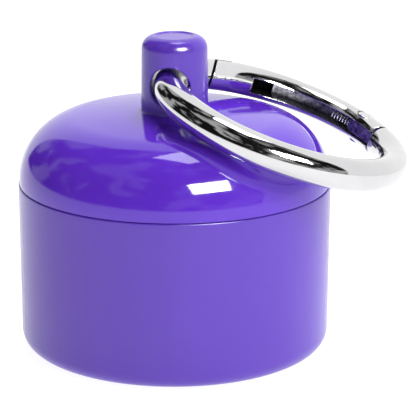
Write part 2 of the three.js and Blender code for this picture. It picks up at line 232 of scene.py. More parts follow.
# %% Helpers for Geometry Nodes
def new_tree(name, inputs):
    """An empty tree with named inputs and one mesh out; returns it with its input and output nodes."""
    tree = bpy.data.node_groups.new(name, "GeometryNodeTree")
    tree.interface.new_socket("Geometry", in_out="OUTPUT", socket_type="NodeSocketGeometry")
    for label, kind, value in inputs:
        socket = tree.interface.new_socket(label, in_out="INPUT", socket_type="NodeSocket" + kind)
        if value is not None:
            socket.default_value = value
    return tree, tree.nodes.new("NodeGroupInput"), tree.nodes.new("NodeGroupOutput")


def add(tree, kind, links=None, **settings):
    """A node with its settings; links maps an input's name or number to a value or to an output."""
    node = tree.nodes.new(kind)
    for key, value in settings.items():
        setattr(node, key, value)
    for key, value in (links or {}).items():
        if isinstance(value, bpy.types.NodeSocket):
            tree.links.new(value, node.inputs[key])
        else:
            node.inputs[key].default_value = value
    return node


def maths(tree, operation, *values):
    """A Math node's result."""
    return add(tree, "ShaderNodeMath", dict(enumerate(values)), operation=operation).outputs[0]


def finish_tree(tree, mesh, out, material):
    """Every tree ends the same way: real geometry with a material on it."""
    real = add(tree, "GeometryNodeRealizeInstances", {"Geometry": mesh})
    painted = add(tree, "GeometryNodeSetMaterial", {"Geometry": real.outputs[0], "Material": material})
    tree.links.new(painted.outputs[0], out.inputs[0])


def from_tree(name, tree, **values):
    """Runs a tree with the given inputs and keeps its plain mesh."""
    piece = bpy.data.objects.new(name, bpy.data.meshes.new(name))
    bpy.context.scene.collection.objects.link(piece)
    modifier = piece.modifiers.new(tree.name, "NODES")
    modifier.node_group = tree
    identifiers = {item.name: item.identifier for item in tree.interface.items_tree if item.in_out == "INPUT"}
    for label, value in values.items():
        modifier[identifiers[label]] = value
    bpy.context.view_layer.update()
    return applied(piece)


# %% [markdown]
# ## Finishes
#
# Moulded plastic isn't one flat colour: the pigment streams a little, the gloss varies from patch
# to patch, and the skin has a faint ripple. The dome is polished, and the cup and the post are
# satin. Plated zinc has the same faults in a mirror, and inside the gate the plating is thin, so
# the casting shows rough and dark. Every pattern below is noise in the piece's own space, at the
# scale of the real fault.

# %% Helper for finishes
def new_finish(name, **values):
    """A material with a Principled shader, its fixed values set on the shader's own sockets."""
    material = bpy.data.materials.new(name)
    material.use_nodes = True
    shader = material.node_tree.nodes["Principled BSDF"]
    for key, value in values.items():
        shader.inputs[key.replace("_", " ")].default_value = value
    return material, material.node_tree, shader


def noise(tree, scale, detail=2.0, stretch=(1, 1, 1)):
    """Noise in the piece's own space; scale is in waves per metre."""
    place = add(tree, "ShaderNodeTexCoord")
    turn = add(tree, "ShaderNodeMapping", {"Vector": place.outputs["Object"], "Scale": stretch})
    field = add(tree, "ShaderNodeTexNoise", {"Vector": turn.outputs[0], "Scale": scale, "Detail": detail})
    return field.outputs["Fac"]


def between(tree, field, low, high):
    """Spreads the middle of a noise field over a range of values."""
    limits = {"Value": field, "From Min": 0.3, "From Max": 0.7, "To Min": low, "To Max": high}
    return add(tree, "ShaderNodeMapRange", limits).outputs[0]


def blend_colours(tree, field, first, second):
    mix = add(tree, "ShaderNodeMix", {"Factor": between(tree, field, 0.0, 1.0)}, data_type="RGBA")
    mix.inputs[6].default_value = (*first, 1)
    mix.inputs[7].default_value = (*second, 1)
    return mix.outputs[2]


def add_bump(tree, shader, field, height, normal=None):
    """Adds a bump of a real height, in metres, on top of any bump before it."""
    bump = add(tree, "ShaderNodeBump", {"Height": field, "Distance": height, "Strength": 1.0})
    if normal is not None:
        tree.links.new(normal, bump.inputs["Normal"])
    tree.links.new(bump.outputs[0], shader.inputs["Normal"])
    return bump.outputs[0]


# %% Purple plastic
def make_purple(name, first, second, smoothest, roughest):
    material, tree, shader = new_finish(name, IOR=1.55)
    pigment = blend_colours(tree, noise(tree, 70, 3, (1, 1, 0.35)), first, second)
    tree.links.new(pigment, shader.inputs["Base Color"])
    tree.links.new(between(tree, noise(tree, 350, 4), smoothest, roughest), shader.inputs["Roughness"])
    ripple = add_bump(tree, shader, noise(tree, 260, 1), 3e-6)
    add_bump(tree, shader, noise(tree, 2600, 2), 4e-7, ripple)
    return material


polished = make_purple("polished purple", (0.100, 0.023, 0.50), (0.114, 0.028, 0.56), 0.05, 0.09)
satin = make_purple("satin purple", (0.090, 0.028, 0.42), (0.104, 0.033, 0.47), 0.2, 0.24)
print("made", polished.name, "and", satin.name)


# %% Bright plating, the rougher cast skin inside the gate, and the painted shade of its pit
def rounded_edges(tree, radius):
    """Edges that catch the light as if slightly rounded."""
    return add(tree, "ShaderNodeBevel", {"Radius": radius}, samples=6).outputs[0]


def make_plating():
    material, tree, shader = new_finish("bright plating", Metallic=1.0)
    tone = blend_colours(tree, noise(tree, 120, 3), (0.60, 0.60, 0.61), (0.68, 0.68, 0.69))
    tree.links.new(tone, shader.inputs["Base Color"])
    tree.links.new(between(tree, noise(tree, 900, 4), 0.03, 0.09), shader.inputs["Roughness"])
    edges = rounded_edges(tree, 0.14 * MM)
    wave = add_bump(tree, shader, noise(tree, 420, 1), 7e-6, edges)
    add_bump(tree, shader, noise(tree, 5200, 3), 6e-7, wave)
    return material


# The same maker also gives the near-black painted shade that lines the gate's pit.
def make_cast_and_shade_finish(name, metallic, first, second, smoothest, roughest):
    material, tree, shader = new_finish(name, Metallic=metallic, Specular_IOR_Level=0.0)
    tone = blend_colours(tree, noise(tree, 1500, 4), first, second)
    tree.links.new(tone, shader.inputs["Base Color"])
    tree.links.new(between(tree, noise(tree, 2500, 4), smoothest, roughest), shader.inputs["Roughness"])
    add_bump(tree, shader, noise(tree, 2200, 5), 3e-5, rounded_edges(tree, 0.1 * MM))
    return material


plating = make_plating()
cast = make_cast_and_shade_finish("cast plating", 1.0, (0.06, 0.06, 0.06), (0.36, 0.36, 0.37), 0.22, 0.45)
# The pit's finish is painted shade: near black and without gloss, it stands for the shadow deep in the gate's
# pit.
painted_pit_shade = make_cast_and_shade_finish("painted pit shade", 0.0, (0.008, 0.008, 0.008), (0.02, 0.02, 0.02), 0.6, 0.8)
print("made", plating.name, cast.name, painted_pit_shade.name)


# %% Steel for the rivet and the spring, and silicone for the washer
def make_steel(name, first, second, wear):
    material, tree, shader = new_finish(name, Metallic=1.0)
    tree.links.new(blend_colours(tree, noise(tree, 1200, 4), first, second), shader.inputs["Base Color"])
    tree.links.new(between(tree, noise(tree, 3000, 4), 0.14, 0.3), shader.inputs["Roughness"])
    add_bump(tree, shader, noise(tree, 3600, 4), wear)
    return material


def make_silicone():
    material, tree, shader = new_finish("washer silicone", IOR=1.41)
    tone = blend_colours(tree, noise(tree, 500, 3), (0.020, 0.019, 0.024), (0.034, 0.032, 0.040))
    tree.links.new(tone, shader.inputs["Base Color"])
    tree.links.new(between(tree, noise(tree, 1500, 3), 0.45, 0.62), shader.inputs["Roughness"])
    add_bump(tree, shader, noise(tree, 4000, 4), 4e-6)
    return material


rivet_steel = make_steel("rivet steel", (0.60, 0.60, 0.61), (0.72, 0.72, 0.73), 4e-6)
spring_steel = make_steel("spring steel", (0.42, 0.42, 0.44), (0.60, 0.60, 0.62), 2e-6)
silicone = make_silicone()
print("made", rivet_steel.name, spring_steel.name, silicone.name)

# %% [markdown]
# ## Paths that the nodes follow
#
# A bent wire is an arc with a round section. A thread is a spiral with a section like a low roof,
# and it fades out at both ends, as a moulded thread does. The spring is a coil whose own axis
# follows the ring's bend.

# %% The tree for a bent wire
def bent_wire_tree(material):
    tree, given, out = new_tree("bent wire", [
        ("Bend Radius", "Float", 0.015), ("Wire Radius", "Float", 0.002), ("Start", "Float", 0.0),
        ("Sweep", "Float", 1.0), ("Rings", "Int", 100), ("Sides", "Int", 64)])
    path = add(tree, "GeometryNodeCurveArc", {
        "Resolution": given.outputs["Rings"], "Radius": given.outputs["Bend Radius"],
        "Start Angle": given.outputs["Start"], "Sweep Angle": given.outputs["Sweep"]})
    section = add(tree, "GeometryNodeCurvePrimitiveCircle", {
        "Resolution": given.outputs["Sides"], "Radius": given.outputs["Wire Radius"]})
    swept = add(tree, "GeometryNodeCurveToMesh", {
        "Curve": path.outputs[0], "Profile Curve": section.outputs[0], "Fill Caps": True})
    finish_tree(tree, swept.outputs[0], out, material)
    return tree


wire_tree = bent_wire_tree(plating)


# %% The tree for a thread
# A thread reaches its full height over an eighteenth of its length.
FADE_RATE = 18.0


def thread_tree(material):
    tree, given, out = new_tree("thread", [
        ("Radius", "Float", 0.019), ("Pitch", "Float", 0.003), ("Turns", "Float", 1.25),
        ("Foot Width", "Float", 0.0012), ("Tip Width", "Float", 0.0006), ("Rise", "Float", 0.00075),
        ("Steps", "Int", 240)])
    height = maths(tree, "MULTIPLY", given.outputs["Pitch"], given.outputs["Turns"])
    path = add(tree, "GeometryNodeCurveSpiral", {
        "Resolution": given.outputs["Steps"], "Rotations": given.outputs["Turns"],
        "Start Radius": given.outputs["Radius"], "End Radius": given.outputs["Radius"], "Height": height})
    upright = add(tree, "GeometryNodeSetCurveNormal", {"Curve": path.outputs[0]}, mode="Z_UP")
    along = add(tree, "GeometryNodeSplineParameter").outputs["Factor"]
    from_end = maths(tree, "MINIMUM", along, maths(tree, "SUBTRACT", 1.0, along))
    fade = maths(tree, "MINIMUM", maths(tree, "MULTIPLY", from_end, FADE_RATE), 1.0)
    tapered = add(tree, "GeometryNodeSetCurveRadius", {"Curve": upright.outputs[0], "Radius": fade})
    section = add(tree, "GeometryNodeCurvePrimitiveQuadrilateral", {
        "Bottom Width": given.outputs["Foot Width"], "Top Width": given.outputs["Tip Width"],
        "Height": given.outputs["Rise"], "Offset": 0.0}, mode="TRAPEZOID")
    upended = add(tree, "GeometryNodeTransform", {
        "Geometry": section.outputs[0], "Rotation": (0, 0, math.pi / 2)})
    swept = add(tree, "GeometryNodeCurveToMesh", {
        "Curve": tapered.outputs[0], "Profile Curve": upended.outputs[0], "Fill Caps": True})
    finish_tree(tree, swept.outputs[0], out, material)
    return tree


# %% The tree for the spring
def coil_tree(material):
    tree, given, out = new_tree("bent coil", [
        ("Bend Radius", "Float", 0.015), ("Coil Radius", "Float", 0.0006), ("Wire Radius", "Float", 0.00014),
        ("Start", "Float", 0.0), ("Sweep", "Float", 0.2), ("Turns", "Float", 7.0), ("Steps", "Int", 224)])
    path = add(tree, "GeometryNodeCurvePrimitiveLine")
    points = add(tree, "GeometryNodeResampleCurve", {
        "Curve": path.outputs[0], "Count": given.outputs["Steps"]})
    share = add(tree, "GeometryNodeSplineParameter").outputs["Factor"]
    angle = maths(tree, "MULTIPLY_ADD", share, given.outputs["Sweep"], given.outputs["Start"])
    turn = maths(tree, "MULTIPLY", maths(tree, "MULTIPLY", share, given.outputs["Turns"]), 2 * math.pi)
    reach = maths(tree, "MULTIPLY_ADD", maths(tree, "COSINE", turn), given.outputs["Coil Radius"],
                  given.outputs["Bend Radius"])
    place = add(tree, "ShaderNodeCombineXYZ", {
        "X": maths(tree, "MULTIPLY", reach, maths(tree, "COSINE", angle)),
        "Y": maths(tree, "MULTIPLY", reach, maths(tree, "SINE", angle)),
        "Z": maths(tree, "MULTIPLY", maths(tree, "SINE", turn), given.outputs["Coil Radius"])})
    coiled = add(tree, "GeometryNodeSetPosition", {
        "Geometry": points.outputs[0], "Position": place.outputs[0]})
    section = add(tree, "GeometryNodeCurvePrimitiveCircle", {
        "Resolution": 14, "Radius": given.outputs["Wire Radius"]})
    swept = add(tree, "GeometryNodeCurveToMesh", {
        "Curve": coiled.outputs[0], "Profile Curve": section.outputs[0], "Fill Caps": True})
    finish_tree(tree, swept.outputs[0], out, material)
    return tree


print("trees", [group.name for group in bpy.data.node_groups])

# %% [markdown]
# ## The cup
#
# A cup is one moulding: flat base, rounded foot, a wall that leans out by a fraction of a
# millimetre so that it leaves its mould, and a thread inside the mouth. It is turned from one
# outline, and the thread is joined on. A subdivided cage would take fewer points, but it rounds
# every edge by some amount of its own, and here each rounding is a real size.

# %% Cup sizes
CUP_DRAFT = 0.2 * MM
CUP_BASE_ROUND = 2.4 * MM
CUP_WALL = 1.7 * MM
CUP_FLOOR = 2.0 * MM
CUP_INNER_ROUND = 2.0 * MM
RIM_ROUND = 0.15 * MM
THREAD_PITCH = 3.0 * MM
THREAD_TURNS = 1.25
THREAD_RISE = 0.75 * MM
THREAD_FOOT = 0.4 * MM
THREAD_BASE = 1.2 * MM
THREAD_TIP = 0.6 * MM
THREAD_START = -5.0 * MM
BORE_RADIUS = RIM_RADIUS - CUP_WALL


def thread(name, radius, outwards, turn, material):
    """A fading helical rib, rooted a little inside its wall."""
    full_rise = THREAD_RISE + THREAD_FOOT
    spread = (THREAD_BASE - THREAD_TIP) / THREAD_RISE * THREAD_FOOT
    middle = radius + (full_rise / 2 - THREAD_FOOT) * (1 if outwards else -1)
    widths = (THREAD_BASE + spread, THREAD_TIP)
    rib = from_tree(name, thread_tree(material), **{
        "Radius": middle, "Pitch": THREAD_PITCH, "Turns": THREAD_TURNS, "Rise": full_rise,
        "Foot Width": widths[1 if outwards else 0], "Tip Width": widths[0 if outwards else 1]})
    rib.data.transform(Matrix.Translation((0, 0, RIM_HEIGHT + THREAD_START)) @ Matrix.Rotation(turn, 4, "Z"))
    reaches = [Vector(point.co[:2]).length for point in rib.data.vertices]
    print(name, "from radius", round(min(reaches) / MM, 2), "to", round(max(reaches) / MM, 2))
    return rib


# %% Cup
def make_cup():
    base = RIM_RADIUS - CUP_DRAFT - CUP_BASE_ROUND
    inner = RIM_RADIUS - CUP_DRAFT - CUP_WALL - CUP_INNER_ROUND
    foot = arc(base, CUP_BASE_ROUND, CUP_BASE_ROUND, -90, 0, 20)
    rim_out = arc(RIM_RADIUS - RIM_ROUND, RIM_HEIGHT - RIM_ROUND, RIM_ROUND, 0, 90, 6)
    rim_in = arc(BORE_RADIUS + RIM_ROUND, RIM_HEIGHT - RIM_ROUND, RIM_ROUND, 90, 180, 6)
    bottom = arc(inner, CUP_FLOOR + CUP_INNER_ROUND, CUP_INNER_ROUND, 0, -90, 12)
    outline = [(0, 0), *foot, *line(foot[-1], rim_out[0], 24), *rim_out, *rim_in,
               *line(rim_in[-1], bottom[0], 24), *bottom, (0, CUP_FLOOR)]
    cup = turned("cup_shell", outline)
    cup.data.materials.append(satin)
    cut(cup, thread("cup_thread", BORE_RADIUS, False, 0, satin), "UNION")
    return shade(cup)


cup = make_cup()
print("cup faces", len(cup.data.polygons))

# %% [markdown]
# ## The lid
#
# The lid is one moulding too: a dome with a post on its crown, a ledge for the washer, and a plug
# with the matching thread. The hole through the post has a rounded mouth at both ends. A plain
# cylinder could cut it and a bevel could round it, but a bevel pinches where two round surfaces
# meet at a slant. So the cutter itself follows the round post, and its flare is the rounding.

# %% Lid sizes
SEAM_GAP = 0.08 * MM
LID_EDGE_HEIGHT = 0.5 * MM
LID_EDGE_ROUND = 0.07 * MM
LID_HEIGHT = 9.85 * MM
SHOULDER_RADIUS = 8.55 * MM
LID_WALL = 1.6 * MM
THREAD_CLEARANCE = 0.3 * MM
PLUG_RADIUS = BORE_RADIUS - THREAD_RISE - THREAD_CLEARANCE
PLUG_WALL = 1.4 * MM
PLUG_BORE = PLUG_RADIUS - PLUG_WALL
PLUG_DEPTH = 6.0 * MM
PLUG_CHAMFER = 0.4 * MM
POCKET_CLEARANCE = 0.1 * MM
POCKET_RADIUS = seal_high.x + POCKET_CLEARANCE
POCKET_TOP = 1.2 * MM
POST_TOP_RADIUS = 4.36 * MM
POST_ROUND = 1.7 * MM
POST_FOOT = 0.25 * MM
DISC_RADIUS = 2.5 * MM
DISC_DEPTH = 0.12 * MM
DISC_LIP = 0.05 * MM
DISC_LIP_DROP = 0.03 * MM
DISC_STEP = 0.06 * MM
HOLE_CLEARANCE = 0.06 * MM
HOLE_RADIUS = WIRE_RADIUS + sag / 2 + POST_RADIUS * math.sin(yaw) + HOLE_CLEARANCE
MOUTH_ROUND = 0.25 * MM
MOUTH_SWEEP = 80


def dome(inset, crown_end, shoulder_steps, crown_steps):
    """The dome's shoulder arc and flatter crown arc, which meet in a common tangent."""
    centre_x = LID_RADIUS - SHOULDER_RADIUS
    drop = LID_HEIGHT - LID_EDGE_HEIGHT - SHOULDER_RADIUS
    crown = SHOULDER_RADIUS + (centre_x ** 2 + drop ** 2) / (2 * drop)
    crown_centre = LID_HEIGHT - crown
    meet = math.degrees(math.atan2(LID_EDGE_HEIGHT - crown_centre, centre_x))
    end = math.degrees(math.acos(crown_end / (crown - inset)))
    start = 0 if inset == 0 else math.degrees(math.acos((PLUG_BORE - centre_x) / (SHOULDER_RADIUS - inset)))
    shoulder = arc(centre_x, LID_EDGE_HEIGHT, SHOULDER_RADIUS - inset, start, meet, shoulder_steps)
    return shoulder + arc(0, crown_centre, crown - inset, meet, end, crown_steps)[1:]


# %% The cutter for the hole through the post
def hole_cutter(facets=128, steps=7):
    """A bar whose ends flare like a trumpet along the post's round surface."""
    near = [(-1, i) for i in range(steps, -1, -1)]
    far = [(1, i) for i in range(steps + 1)]
    rows = [(-1, None), *near, *far, (1, None)]
    points, faces = [], []
    for side, step in rows:
        share = math.radians(MOUTH_SWEEP * (steps if step is None else step) / steps)
        radius = HOLE_RADIUS + MOUTH_ROUND * (1 - math.cos(share))
        for i in range(facets):
            a = 2 * math.pi * i / facets
            across, height = radius * math.cos(a), radius * math.sin(a)
            surface = math.sqrt((POST_RADIUS + POST_TOP_RADIUS) ** 2 / 4 - across ** 2)
            reach = surface - MOUTH_ROUND * (1 - math.sin(share)) if step is not None else 3 * POST_RADIUS
            points.append((across, side * reach, height))
    for row in range(len(rows) - 1):
        for i in range(facets):
            j = (i + 1) % facets
            faces.append((row * facets + i, row * facets + j, (row + 1) * facets + j, (row + 1) * facets + i))
    faces.append(tuple(reversed(range(facets))))
    faces.append(tuple(range(len(points) - facets, len(points))))
    tool = mesh_object("hole_cutter", points, faces)
    tool.data.flip_normals()
    tool.data.materials.append(polished)
    turn = Vector((0, 1, 0)).rotation_difference(hole_axis).to_matrix().to_4x4()
    return placed(tool, Matrix.Translation(hole_centre) @ turn)


# %% Lid
def make_lid():
    outside = dome(0, POST_RADIUS + POST_FOOT, 48, 24)
    inside = dome(LID_WALL, 0, 24, 24)
    crown_at_post = outside[-1][1]
    top = POST_TOP - RIM_HEIGHT
    post_start = (POST_RADIUS, crown_at_post + POST_FOOT)
    round_top = arc(POST_TOP_RADIUS - POST_ROUND, top - POST_ROUND, POST_ROUND, 0, 90, 16)
    edge = arc(LID_RADIUS - LID_EDGE_ROUND, SEAM_GAP + LID_EDGE_ROUND, LID_EDGE_ROUND, -90, 0, 4)
    fillet = arc(POST_RADIUS + POST_FOOT, crown_at_post + POST_FOOT, POST_FOOT, -90, -180, 5)
    disc = DISC_RADIUS - DISC_DEPTH
    outline = [
        *reversed(inside), (PLUG_BORE, -PLUG_DEPTH), (PLUG_RADIUS - PLUG_CHAMFER, -PLUG_DEPTH),
        (PLUG_RADIUS, PLUG_CHAMFER - PLUG_DEPTH), (PLUG_RADIUS, POCKET_TOP), (POCKET_RADIUS, POCKET_TOP),
        (POCKET_RADIUS, SEAM_GAP), *edge, *outside, *fillet[1:],
        *line(post_start, round_top[0], 48), *round_top, (DISC_RADIUS + DISC_LIP, top),
        (DISC_RADIUS, top - DISC_LIP_DROP), (disc, top - DISC_DEPTH), (disc - DISC_STEP, top - DISC_DEPTH),
        (disc / 2, top - DISC_DEPTH), (0, top - DISC_DEPTH)]
    lid = turned("lid_shell", [(radius, height + RIM_HEIGHT) for radius, height in outline])
    lid.data.materials.append(polished)
    cut(lid, thread("lid_thread", PLUG_RADIUS, True, math.pi, polished), "UNION")
    cut(lid, hole_cutter())
    lid.data.materials.append(satin)
    for face in lid.data.polygons:
        if face.center.z > RIM_HEIGHT + crown_at_post and face.center.xy.length < POST_RADIUS + POST_FOOT:
            face.material_index = len(lid.data.materials) - 1
    return shade(lid)


lid = make_lid()
print("lid faces", len(lid.data.polygons))

# %% [markdown]
# ## The washer
#
# A flat silicone washer sits in the ledge under the lid. It is a plain ring, but its edges are
# rounded as a moulded washer's are. It is turned from a closed outline, because a torus would have
# no flat faces to seal with.

# %% Washer
WASHER_ROUND = 0.15 * MM
WASHER_CLEARANCE = 0.2 * MM
WASHER_BORE = PLUG_RADIUS + WASHER_CLEARANCE


def make_washer():
    low, high = seal_low.z + WASHER_ROUND, seal_high.z - WASHER_ROUND
    inner, outer = WASHER_BORE + WASHER_ROUND, seal_high.x - WASHER_ROUND
    corners = [(outer, low, -90), (outer, high, 0), (inner, high, 90), (inner, low, 180)]
    outline = [point for x, z, start in corners for point in arc(x, z, WASHER_ROUND, start, start + 90, 4)]
    washer = turned("washer", outline, closed=True)
    washer.data.materials.append(silicone)
    return shade(washer, 50)


washer = make_washer()
print("washer faces", len(washer.data.polygons))

# %% [markdown]
# ## The ring
#
# The ring is an open hoop and a gate. Both start as the same bent wire. The hoop ends in a nose
# with a step at one side, and in a square shoulder with a tongue at the other. The gate is a fork
# round that tongue, hollow on its inner side, with a lip that closes outside the nose. Both could
# be modelled face by face, but wire that is bent first and cut afterwards keeps the same round
# outside on both. The cuts leave the rougher skin of the casting, so the cutting tools carry that
# finish.

# %% Ring sizes
NOSE_ANGLE = 140.5
LIP_ANGLE = 130
SLOT_END_ANGLE = 118.5
NOSE_GAP = 0.4 * MM
LIP_GAP = 0.3 * MM
SLOT_WIDTH = 2.0 * MM
GATE_BACK_WALL = 0.85 * MM
CHEEK_REACH = 4.0 * MM
HINGE_GAP = 0.3 * MM
SHOULDER_AT = CHEEK_REACH + HINGE_GAP
NEAR = 1 * MM
FAR = 12 * MM
PIN_RADIUS = 0.5 * MM
EYE_RADIUS = 0.6 * MM
gate_end = (on_ring(NOSE_ANGLE) - PIN).length - NOSE_GAP / 2
lip_end = (on_ring(LIP_ANGLE, RING_RADIUS + LIP_GAP) - PIN).length


# %% Helpers for the ring's cutting tools
# A tool is longer than its cut, so its angles and reaches run some way past the wire.
def prism(name, outline, low, high, material):
    """An outline of (x, y), counter-clockwise, as a block from one height to another."""
    count = len(outline)
    points = [(x, y, z) for z in (low, high) for x, y in outline]
    faces = [tuple(reversed(range(count))), tuple(range(count, 2 * count))]
    faces += [(i, (i + 1) % count, (i + 1) % count + count, i + count) for i in range(count)]
    block = mesh_object(name, points, faces)
    block.data.materials.append(material)
    return block


def bar(name, centre, radius, low, high, material, facets=96):
    outline = arc(centre.x, centre.y, radius, 0, 360, facets)[:-1]
    return prism(name, outline, low, high, material)


def sector(name, inner, outer, start, end, thickness, material):
    steps = max(2, round(end - start))
    outline = arc(0, 0, outer, start, end, steps) + arc(0, 0, inner, end, start, steps)
    return prism(name, outline, -thickness / 2, thickness / 2, material)


def at_pin(outline):
    """Places an outline that is drawn at the rivet, +X towards the shoulder and +Y outwards."""
    turn = Matrix.Rotation(math.radians(PIN_ANGLE - 90), 3, "Z")
    return [tuple((turn @ Vector((x, y, 0)) + PIN)[:2]) for x, y in outline]


def bent_wire(name, start, end):
    sweep = math.radians(end - start)
    piece = from_tree(name, wire_tree, **{
        "Bend Radius": RING_RADIUS, "Wire Radius": WIRE_RADIUS, "Start": math.radians(start),
        "Sweep": sweep, "Rings": round((end - start) * 1.5), "Sides": 72})
    piece.data.materials.append(cast)
    return piece


# %% The hoop
def nose_tool():
    """What the gate's end and lip need: the space past a step at the hoop's nose."""
    tool = sector("nose_tool", NEAR, RING_RADIUS + FAR, SLOT_END_ANGLE, NOSE_ANGLE + 30, FAR, cast)
    reach = bar("reach", PIN, lip_end, -FAR, FAR, cast, 360)
    nose = bar("nose", PIN, gate_end + NOSE_GAP, -FAR, FAR, cast, 360)
    inside = bar("inside", Vector((0, 0, 0)), RING_RADIUS + LIP_GAP, -2 * FAR, 2 * FAR, cast, 360)
    cut(nose, inside, "INTERSECT")
    cut(reach, nose, "UNION")
    return cut(tool, reach, "INTERSECT")


def make_hoop():
    hoop = bent_wire("hoop", LIP_ANGLE - 4, 360 + PIN_ANGLE - 10)
    cut(hoop, nose_tool())
    square = [(-FAR, -FAR), (SHOULDER_AT, -FAR), (SHOULDER_AT, FAR), (-FAR, FAR)]
    cut(hoop, prism("shoulder_tool", at_pin(square), -FAR, FAR, plating))
    return hoop


hoop = make_hoop()
print("hoop faces", len(hoop.data.polygons))

# %% The tongue with the heel that the spring pushes on
TONGUE_CLEARANCE = 0.2 * MM
TONGUE_ROUND = 1.0 * MM
HEEL_REACH = 1.3 * MM
HEEL_DEPTH = 1.4 * MM


def add_tongue(target):
    outline = [*arc(0, 0, TONGUE_ROUND, 90, 165, 10), (-HEEL_REACH, 0), (-HEEL_REACH, -HEEL_DEPTH),
               (SHOULDER_AT + WIRE_RADIUS / 2, -HEEL_DEPTH - PIN_RADIUS),
               (SHOULDER_AT + WIRE_RADIUS / 2, 0), (SHOULDER_AT, TONGUE_ROUND / 2)]
    half = SLOT_WIDTH / 2 - TONGUE_CLEARANCE
    tongue = prism("tongue", at_pin(outline), -half, half, cast)
    cut(tongue, bar("eye", PIN, EYE_RADIUS, -FAR, FAR, cast, 48))
    return shade(cut(target, tongue, "UNION"), 25)


add_tongue(hoop)
placed(hoop, RING)
print("hoop with its tongue", len(hoop.data.polygons))

# %% [markdown]
# ## The gate
#
# The gate starts as wire as well. Its far end is cut along a circle round the rivet, so it swings
# past the nose at an even gap, and its fork ends half round and half square. The channel on its
# inner side ends in a deeper pit, lined with painted shade: a near-black, glossless finish that
# stands for the shadow deep in the pit.

# %% The gate
PIT_ANGLE = 104
PIT_DEPTH = 0.45 * MM
PIT_WIDTH = SLOT_WIDTH + 0.1 * MM
PIN_HEAD_RADIUS = 1.2 * MM
HEAD_GAP = 0.1 * MM
SPOTFACE_HEIGHT = 1.45 * MM


def fork_tool():
    """The space past the fork's rounded end, on the hoop's side of the rivet."""
    tool = sector("fork_tool", NEAR, RING_RADIUS + FAR, 0, PIN_ANGLE, FAR, plating)
    corner = [(-CHEEK_REACH, 0), (CHEEK_REACH, 0), (CHEEK_REACH, FAR / 2), (-CHEEK_REACH, FAR / 2)]
    cut(tool, bar("round_end", PIN, CHEEK_REACH, -FAR, FAR, plating))
    return cut(tool, prism("square_end", at_pin(corner), -FAR, FAR, plating))


def lip_tool():
    """The space outside the gate's end, where its lip stops short of the hoop's step."""
    tool = sector("lip_tool", RING_RADIUS, RING_RADIUS + FAR, LIP_ANGLE - 15, NOSE_ANGLE + 20, FAR, cast)
    return cut(tool, bar("lip", PIN, lip_end - LIP_GAP, -FAR, FAR, cast, 360))


def make_gate():
    gate = bent_wire("gate_arm", PIN_ANGLE - 20, NOSE_ANGLE + 12)
    cut(gate, bar("end", PIN, gate_end, -FAR, FAR, cast, 360), "INTERSECT")
    cut(gate, fork_tool())
    cut(gate, lip_tool())
    slot_floor = RING_RADIUS + WIRE_RADIUS - GATE_BACK_WALL
    cut(gate, sector("slot_tool", RING_RADIUS - FAR, slot_floor, 0, SLOT_END_ANGLE, SLOT_WIDTH, cast))
    # The pit is lined with painted shade, a near-black finish for the shadow that falls deep in it.
    gate.data.materials.append(painted_pit_shade)
    pit_floor = slot_floor + PIT_DEPTH
    cut(gate, sector("pit_tool", RING_RADIUS - FAR, pit_floor, PIT_ANGLE, SLOT_END_ANGLE, PIT_WIDTH, painted_pit_shade))
    for side in (-1, 1):
        low, high = sorted((side * SPOTFACE_HEIGHT, side * FAR))
        cut(gate, bar("spotface", PIN, PIN_HEAD_RADIUS + HEAD_GAP, low, high, plating, 64))
    cut(gate, bar("eye", PIN, EYE_RADIUS, -FAR, FAR, cast, 48))
    return placed(shade(gate, 25), RING)


gate = make_gate()
print("gate faces", len(gate.data.polygons))

# %% [markdown]
# ## The rivet and the spring
#
# The rivet holds the gate to the tongue. It is turned like the cup, with a low rounded head at each
# end and a dimple where it was pressed. The spring lies in the gate's channel and pushes on the
# tongue's heel. It is too small to need more than a round wire, but its coils catch the light
# between the cheeks, so they are real and not painted on.

# %% The rivet
HEAD_THICKNESS = 0.4 * MM
HEAD_ROUND = 0.12 * MM
DIMPLE_RADIUS = 0.75 * MM
DIMPLE_FLOOR = 0.65 * MM
DIMPLE_EDGE_DEPTH = 0.04 * MM
DIMPLE_DEPTH = 0.06 * MM


def make_rivet():
    seat = SPOTFACE_HEIGHT + HEAD_GAP
    top = seat + HEAD_THICKNESS
    head = [(PIN_RADIUS, seat), (PIN_HEAD_RADIUS, seat),
            *arc(PIN_HEAD_RADIUS - HEAD_ROUND, top - HEAD_ROUND, HEAD_ROUND, 0, 90, 5),
            (DIMPLE_RADIUS, top), (DIMPLE_FLOOR, top - DIMPLE_EDGE_DEPTH), (0, top - DIMPLE_DEPTH)]
    outline = [(radius, -height) for radius, height in reversed(head)] + head
    rivet = turned("rivet", outline, 64)
    rivet.data.materials.append(rivet_steel)
    return placed(shade(rivet), RING @ Matrix.Translation(PIN))


rivet = make_rivet()
print("rivet faces", len(rivet.data.polygons))

# %% The spring
SPRING_INSET = 0.45 * MM
SPRING_LENGTH = 3.4 * MM
SPRING_END_GAP = 0.25 * MM
SPRING_COIL_RADIUS = 0.62 * MM
SPRING_WIRE_RADIUS = 0.14 * MM
SPRING_TURNS = 7.0


def make_spring():
    start = math.radians(PIN_ANGLE) + (HEEL_REACH + SPRING_END_GAP) / RING_RADIUS
    spring = from_tree("spring", coil_tree(spring_steel), **{
        "Bend Radius": RING_RADIUS - SPRING_INSET, "Coil Radius": SPRING_COIL_RADIUS,
        "Wire Radius": SPRING_WIRE_RADIUS, "Start": start, "Sweep": SPRING_LENGTH / RING_RADIUS,
        "Turns": SPRING_TURNS})
    return placed(shade(spring), RING)


spring = make_spring()
print("spring faces", len(spring.data.polygons))

# %% [markdown]
# ## The studio
#
# Bright plating shows the room, so the room is part of the picture. A white sweep stands behind
# and below the capsule, and the room in front is dark, with pale things standing about in it. The
# sky of the scene paints both, so no wall can hide the capsule from the other side. Two boxes only
# make highlights, one at the front on the right and one above. Three more only light the colours:
# a small one behind gives the ring its shadow on the dome, and two large ones fill the front.

